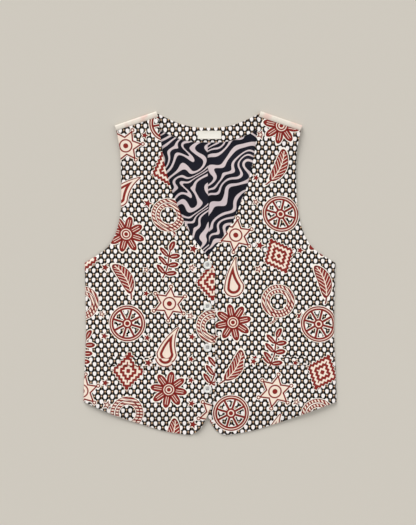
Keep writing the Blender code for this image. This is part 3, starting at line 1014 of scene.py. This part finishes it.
CLOSING_EDGE = (
    Station("middle of the corner", 0.0140, 0.0093),
    Station("corner", 0.0077, 0.0184),
    Station("notch", 0.0009, 0.0333),
    Station("above the notch", -0.0070, 0.0522),
    Station("end of the round", -0.0126, 0.0730),
    Station("last button", -0.0135, 0.0950),
    Station("second button", -0.0135, 0.2300),
    Station("top of the lap", -0.0135, 0.2970),
)
V_EDGE = (
    Station("top of the lap", -0.0135, 0.2970),
    Station("point of the V", 0.0000, 0.3195),
    Station("bust", 0.0322, 0.3627),
    Station("mid V", 0.0536, 0.4068),
    Station("upper V", 0.0700, 0.4509),
    Station("collar bone", 0.0815, 0.5000),
    Station("neck", 0.0908, 0.5721),
)
FRONT_HEM = (
    Station("middle of the corner", 0.0140, 0.0093),
    Station("point", 0.0234, 0.0024),
    Station("lowest", 0.0350, -0.0003),
    Station("inner hem", 0.0800, 0.0071),
    Station("mid hem", 0.1250, 0.0205),
    Station("outer hem", 0.1700, 0.0360),
)

# Soft creases of each front, as ridges: the middle, the direction from across in degrees, half the length,
# half the width and the height.
Crease = namedtuple("Crease", "place across up slant half_length half_width rise")
LEFT_CREASES = (
    Crease("from the underarm", 0.158, 0.300, 28, 0.050, 0.0120, 0.00075),
    Crease("under the armhole", 0.186, 0.268, 12, 0.034, 0.0090, 0.00045),
    Crease("beside the V", 0.082, 0.392, 62, 0.060, 0.0110, 0.00055),
    Crease("waist", 0.150, 0.188, -8, 0.055, 0.0140, 0.00055),
    Crease("above the pocket", 0.104, 0.156, 9, 0.040, 0.0070, 0.00040),
    Crease("below the pocket", 0.140, 0.088, -17, 0.048, 0.0120, 0.00050),
    Crease("hem point", 0.058, 0.046, 34, 0.030, 0.0100, 0.00045),
    Crease("shoulder", 0.126, 0.498, 78, 0.040, 0.0090, 0.00040),
    Crease("chest", 0.108, 0.330, 48, 0.038, 0.0150, 0.00045),
)
RIGHT_CREASES = (
    Crease("from the underarm", 0.166, 0.292, 36, 0.044, 0.0110, 0.00065),
    Crease("armhole", 0.146, 0.356, 66, 0.036, 0.0080, 0.00040),
    Crease("beside the V", 0.070, 0.372, 54, 0.048, 0.0120, 0.00060),
    Crease("first button", 0.052, 0.292, 16, 0.034, 0.0090, 0.00045),
    Crease("waist", 0.132, 0.206, -14, 0.062, 0.0130, 0.00060),
    Crease("over the pocket", 0.166, 0.160, 4, 0.036, 0.0080, 0.00045),
    Crease("below the pocket", 0.106, 0.094, 12, 0.044, 0.0110, 0.00045),
    Crease("hem point", 0.050, 0.036, 50, 0.026, 0.0090, 0.00040),
    Crease("shoulder", 0.118, 0.520, 84, 0.034, 0.0080, 0.00035),
)


def closing_line(up):
    """The fronts meet a little off the middle of the body, and the neck lies on its middle."""
    return CLOSING_SHIFT * (1 - smoothstep(0.31, 0.45, up))


def front_edges(side):
    """The four edges of a front on the plan, side 1 for the wearer's left and -1 for the right."""

    def own(station):
        return Vector((side * closing_line(station.up) + station.across, station.up))

    closing = smooth_path([own(s) for s in CLOSING_EDGE])
    hem = smooth_path([own(s) for s in FRONT_HEM] + [points_of(SIDE_SEAM)[0]])
    neck = fold_at(0, FLAP_AT_NECK + SEAM_GAP)
    tip = fold_at(1, FLAP_AT_TIP + SEAM_GAP)
    vee = smooth_path([own(s) for s in V_EDGE[:-1]] + [neck])
    outer_points = points_of(ARMHOLE)[:-1] + [tip]
    outer = joined(smooth_path(points_of(SIDE_SEAM)), smooth_path(outer_points), CORNER_SHARE)
    return joined(closing, vee, CORNER_SHARE), outer, hem, straight(neck, tip)


def creased(creases, place):
    """How far the creases lift the cloth at a place."""
    rise = 0.0
    for crease in creases:
        ridge, side = directions(math.radians(crease.slant))
        away = place - Vector((crease.across, crease.up))
        along = away.dot(ridge) / crease.half_length
        over = away.dot(side) / crease.half_width
        if abs(along) < 1 and abs(over) < 2.6:
            rise += crease.rise * (1 - along * along) ** 2 * math.exp(-over * over)
    return rise


def between_buttons(up):
    """0 at the height of each button and 1 halfway between two, and 0 above the highest."""
    turn = (up - LOWEST_BUTTON_UP) / BUTTON_PITCH
    if not 0 < turn < BUTTON_COUNT - 1:
        return 0.0
    return math.sin(math.pi * turn) ** 2


def front_height(side, edges, u, v, place):
    """The upper side of a front, above the surface, without its creases."""
    height = FRONT_REST_TOP
    height += PLEAT_RISE * smoothstep(*OVER_PLEAT, place.x)
    height += FRONT_BODY_RISE * smoothstep(*OVER_BODY, place.x) * smoothstep(1, 0.75, u)
    side_distance = edges[1](v).x - place.x
    beside_armhole = smoothstep(ARMHOLE_DROOP_WIDTH, 0, side_distance) * smoothstep(0.5, 0.6, v)
    height -= ARMHOLE_DROOP * beside_armhole
    height += (2 * FOLD_RADIUS - height) * smoothstep(*SHOULDER_RISE, v)
    middle, corner = BACK_HEM[0], BACK_HEM[-1]
    past_back = middle.up + (corner.up - middle.up) * (place.x / corner.across) ** 2 - place.y
    height += (HEM_EDGE_TOP - height) * smoothstep(0, HEM_DROOP_LENGTH, past_back)
    lap_start = OVERLAP_HALF - closing_line(place.y)
    if side < 0:
        over = smoothstep(*OVER_LAP, place.x - lap_start)
        height += LAP_RISE * over * smoothstep(*LAP_FADE_UP, place.y)
        height += 0.0005 * between_buttons(place.y) * smoothstep(lap_start + 0.02, -lap_start, place.x)
    return height, side_distance


def front_place(side, creases):
    edges = front_edges(side)
    rim = KDTree(RIM_POINTS * len(edges))
    for share in even(0, 1, RIM_POINTS - 1):
        for edge in edges:
            rim.insert(edge(share).to_3d(), 0)
    rim.balance()

    def place(u, v):
        plan = patch_point(edges, abs(u), v)
        height, side_distance = front_height(side, edges, abs(u), v, plan)
        from_rim = rim.find(plan.to_3d())[2]
        height += creased(creases, plan) * smoothstep(0.004, 0.020, from_rim)
        height += ALLOWANCE_RISE * smoothstep(*ALLOWANCE, from_rim)
        inward = min(1.0, max(0.0, side_distance / SIDE_ROLL))
        beside = smoothstep(CORNER_SHARE + SIDE_ROLL_FADE, CORNER_SHARE, v)
        roll = (1 - math.sqrt(1 - (1 - inward) ** 2)) * beside
        drop = (height - SIDE_EDGE_TOP) * roll
        return on_side(side, plan, height - drop, plan + Vector((SIDE_ROLL_CLOTH * drop, 0)))

    return place


FRONT_COLUMNS = even(0, 0.94, 96)[:-1] + even(0.94, 1, 22)
FRONT_ROWS = even(0, 1, 230)
fronts = {}
for side, name, creases, turn, shift in (
    (1, "front_left", LEFT_CREASES, 1.2, Vector((0.0, 0.0))),
    (-1, "front_right", RIGHT_CREASES, -0.4, Vector((0.5, 0.163))),
):
    on_roll = cut_from(math.radians(turn), shift)
    front, flat, area = cloth_piece(
        f"{name}_cotton", columns_of(side, FRONT_COLUMNS), FRONT_ROWS, front_place(side, creases), cotton,
        FRONT_WALL, on_roll=on_roll,
    )
    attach(front, "root")
    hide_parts(name)
    fronts[side] = (front, on_roll)


# The pocket welts are folded strips of the same cotton, sewn to the fronts along their lower edge and both
# ends. The print on them is cut near where it lies on the front, so that it breaks at the welt's edges.
WELT_WALL = 0.0012
WELT_LENGTH = 0.113
WELT_WIDTH = 0.015
WELT_MIDDLE_AWAY = 0.1207
WELT_MIDDLE_UP = 0.1315
WELT_SLANT = math.radians(2.3)
WELT_MISMATCH = Vector((0.0028, 0.0050))
WELT_STITCHES = 12
WELT_SEWN = 0.0118
WELT_TACK_IN = 0.0016
WELT_STITCH_HALF = 0.00042
WELT_THREAD = Thread(0.00013, 0.00008, 0.0002, 0.5)


def welt_lift(u, v):
    """The folded upper edge is a little fuller, and the sewn edges sink to the front."""
    sewn = smoothstep(0.96, 1.0, abs(u)) + smoothstep(-0.80, -1.0, v)
    return 0.00025 * smoothstep(-0.2, 0.8, v) - 0.00025 * min(1.0, sewn)


tacks = bmesh.new()
for side, name in ((1, "welt_left"), (-1, "welt_right")):
    front, front_roll = fronts[side]
    middle = Vector((closing_line(WELT_MIDDLE_UP) + side * WELT_MIDDLE_AWAY, WELT_MIDDLE_UP))
    slant = side * WELT_SLANT
    on_front = surface_of(front)
    rotation = Matrix.Rotation(slant * 0.6, 2)
    welt, flat, area = cloth_piece(
        f"{name}_cotton", even(-1, 1, 150), even(-1, 1, 26),
        strip_place((WELT_LENGTH, WELT_WIDTH), middle, slant, on_front, WELT_WALL, welt_lift),
        cotton, WELT_WALL, on_roll=lambda cut: front_roll(rotation @ cut + middle + WELT_MISMATCH),
    )
    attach(welt, "root")
    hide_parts(name)
    welt_top = surface_of(welt)
    along, over = directions(slant)
    for end in (-1, 1):
        for row in even(-0.5, 0.5, WELT_STITCHES - 1):
            place = middle + along * end * (WELT_LENGTH / 2 - WELT_TACK_IN) + over * row * WELT_SEWN
            stitch(tacks, place, over * WELT_STITCH_HALF, welt_top, WELT_THREAD)
thread_piece("welt_stitches", tacks, sewing)


# Four shell buttons close the fronts. Each is turned with a dished middle, drilled with four holes and sewn
# through them crosswise, over a worked buttonhole in the upper front.
BUTTON_RADIUS = 0.0075
HOLE_RADIUS = 0.00095
HOLE_CIRCLE = 0.0019
BUTTONHOLE_HALF = 0.0079
Ring = namedtuple("Ring", "place radius height")
BUTTON_PROFILE = (
    Ring("dish", 0.0000, 0.0013),
    Ring("dish edge", 0.0035, 0.0014),
    Ring("rim", 0.0048, 0.0022),
    Ring("rim top", 0.0062, 0.0025),
    Ring("shoulder", 0.0072, 0.0020),
    Ring("girth", BUTTON_RADIUS, 0.0013),
    Ring("lower girth", 0.0071, 0.0006),
    Ring("foot", 0.0060, 0.0001),
    Ring("underside", 0.0000, 0.0000),
)
BUTTON_STEPS = 56
SHELL = (as_linear(226, 219, 214), as_linear(249, 244, 238))
SHELL_DISH = as_linear(166, 162, 164)
BUTTON_TURNS = (7, -11, 4, -3)
SHARP_EDGE = math.radians(40)
THREAD_HEIGHT = 0.00175
THREAD_RADIUS = 0.00024
BUTTONHOLE_STITCHES = 76
BUTTONHOLE_RISE = 0.0012


def shell_material():
    """Pale shell with cloudy layers, greyer in the dish, under a polished face."""
    material = new_material(
        "button shell", 0.22, Coat_Weight=0.5, Coat_Roughness=0.08, Subsurface_Weight=0.12
    )
    x, y = cut_place(material)
    cloud = noise(x, y * 1.6, 3.2, 3.0)
    out = length(x, y)
    colour = mixed(mixed(*SHELL, cloud.ramp(0.3, 0.7)), SHELL_DISH, out.below(3.0, 2.6) * 0.65)
    return painted(material, colour)


def turned_button(material):
    """The mesh of a blank that is spun from its profile, then drilled."""
    profile = smooth_path([Vector((ring.radius, ring.height)) for ring in BUTTON_PROFILE], 8)
    blank = bmesh.new()
    corners = []
    for share in even(0, 1, 40):
        point = profile(share)
        corners.append(blank.verts.new((max(0.0, point.x), 0, point.y)))
    line = [blank.edges.new(pair) for pair in zip(corners, corners[1:])]
    whole_turn = {"cent": (0, 0, 0), "axis": (0, 0, 1), "angle": 2 * math.pi}
    bmesh.ops.spin(blank, geom=corners + line, steps=BUTTON_STEPS, use_merge=True, **whole_turn)
    bmesh.ops.remove_doubles(blank, verts=blank.verts, dist=1e-6)
    bmesh.ops.recalc_face_normals(blank, faces=blank.faces)
    drill = bmesh.new()
    for quarter in range(4):
        outward, _ = directions(math.radians(45 + 90 * quarter))
        pin = bmesh.ops.create_cone(
            drill, cap_ends=True, segments=20, radius1=HOLE_RADIUS, radius2=HOLE_RADIUS, depth=0.02
        )
        bmesh.ops.translate(drill, verts=pin["verts"], vec=(outward * HOLE_CIRCLE).to_3d())
    pattern = as_piece("button pattern", blank, material)
    cutter = as_piece("button drill", drill, material)
    holes = pattern.modifiers.new("Holes", "BOOLEAN")
    holes.operation = "DIFFERENCE"
    holes.object = cutter
    bpy.context.view_layer.update()
    finished = bpy.data.meshes.new_from_object(pattern.evaluated_get(bpy.context.evaluated_depsgraph_get()))
    for helper in (pattern, cutter):
        bpy.data.objects.remove(helper)
    return finished


def button_piece(name, pattern, material, place, turn):
    """A copy of the drilled blank in its place. Its map "Cut" has the button's middle at 0."""
    shape = bmesh.new()
    shape.from_mesh(pattern)
    uv = shape.loops.layers.uv.new("Cut")
    for face in shape.faces:
        for corner in face.loops:
            corner[uv].uv = corner.vert.co.xy
    shape.transform(Matrix.Translation(place) @ Matrix.Rotation(turn, 4, "Z"))
    piece = as_piece(name, shape, material)
    piece.data.set_sharp_from_angle(angle=SHARP_EDGE)
    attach(piece, "root")
    return piece


shell = shell_material()
button_thread = thread_material("button thread", as_linear(205, 200, 196))
pattern = turned_button(shell)
on_upper_front = surface_of(fronts[-1][0])
sewn, worked = bmesh.new(), bmesh.new()
for which, degrees in enumerate(BUTTON_TURNS, 1):
    low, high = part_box(f"button_{which}")
    place = Vector(((low[0] + high[0]) / 2, (low[1] + high[1]) / 2, low[2]))
    turn = math.radians(degrees)
    button = button_piece(f"button_{which}_shell", pattern, shell, place, turn)
    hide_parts(f"button_{which}")
    for crossing in (0, 1):
        reach, side_step = directions(turn + math.radians(45 + 90 * crossing))
        for strand in (-1, 1):
            points = []
            for share in even(-1, 1, 10):
                arch = 0.00012 * crossing + 0.00015 * (1 - share**2) - 0.0016 * abs(share) ** 9
                aside = reach * HOLE_CIRCLE * share * 1.12 + side_step * strand * 0.00022
                points.append(place + Vector((*aside, THREAD_HEIGHT + arch)))
            tube(sewn, points, THREAD_RADIUS)
    up = place.y + LENGTH / 2
    for number in range(BUTTONHOLE_STITCHES):
        angle = 2 * math.pi * number / BUTTONHOLE_STITCHES
        spread = max(-1.0, min(1.0, 1.25 * math.cos(angle))) * BUTTONHOLE_HALF
        rise = max(-1.0, min(1.0, 1.6 * math.sin(angle))) * BUTTONHOLE_RISE
        inner = Vector((place.x + spread * 0.97, up + rise * 0.45))
        outer = Vector((place.x + spread, up + rise))
        plans = (inner, inner.lerp(outer, 0.5), outer)
        points = [settle(plan.x, plan.y, on_upper_front(plan) + 0.00003) for plan in plans]
        tube(worked, points, 0.00014, 5)
thread_piece("button_thread", sewn, button_thread)
thread_piece("buttonhole_stitches", worked, sewing)


# The vest lies on a plain pale floor under a wide soft light from the neck's side, with soft light all
# round. The camera looks straight down through a long lens.
FLOOR_SIZE = 40.0
FLOOR_HEIGHT = -0.0003
VIEW_MIDDLE = Vector((-0.0037, 0.0189, 0.0))
VIEW_HEIGHT = 0.945
LENS = 85.0
SENSOR = 36.0

sheet = bmesh.new()
bmesh.ops.create_grid(sheet, x_segments=1, y_segments=1, size=FLOOR_SIZE / 2)
bmesh.ops.translate(sheet, verts=sheet.verts, vec=(0, 0, FLOOR_HEIGHT))
floor = as_piece("floor", sheet, new_material("pale paper", 0.9, Base_Color=as_linear(206, 201, 191)))
floor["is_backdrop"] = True

world = bpy.data.worlds.new("studio")
bpy.context.scene.world = world
world.use_nodes = True
sky = world.node_tree.nodes["Background"]
sky.inputs["Color"].default_value = (1.0, 0.985, 0.965, 1.0)
sky.inputs["Strength"].default_value = 0.54


def soft_light(name, place, width, power):
    """A far light, so wide, in degrees, that its shadows are soft. It lights the whole floor alike."""
    lamp = bpy.data.lights.new(name, "SUN")
    lamp.angle = math.radians(width)
    lamp.energy = power
    light = bpy.data.objects.new(name, lamp)
    light.location = place
    light.rotation_euler = (-place).to_track_quat("-Z", "Y").to_euler()
    bpy.context.scene.collection.objects.link(light)


soft_light("key light", Vector((-0.4, 1.1, 0.52)), 34, 2.64)
soft_light("fill light", Vector((1.2, -0.3, 1.5)), 60, 0.47)

lens = bpy.data.cameras.new("camera")
lens.lens = LENS
lens.sensor_width = SENSOR
camera = bpy.data.objects.new("camera", lens)
camera.location = VIEW_MIDDLE + Vector((0, 0, VIEW_HEIGHT * LENS / SENSOR))
bpy.context.scene.collection.objects.link(camera)
bpy.context.scene.camera = camera
bpy.context.scene.view_settings.view_transform = "Standard"

low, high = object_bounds()
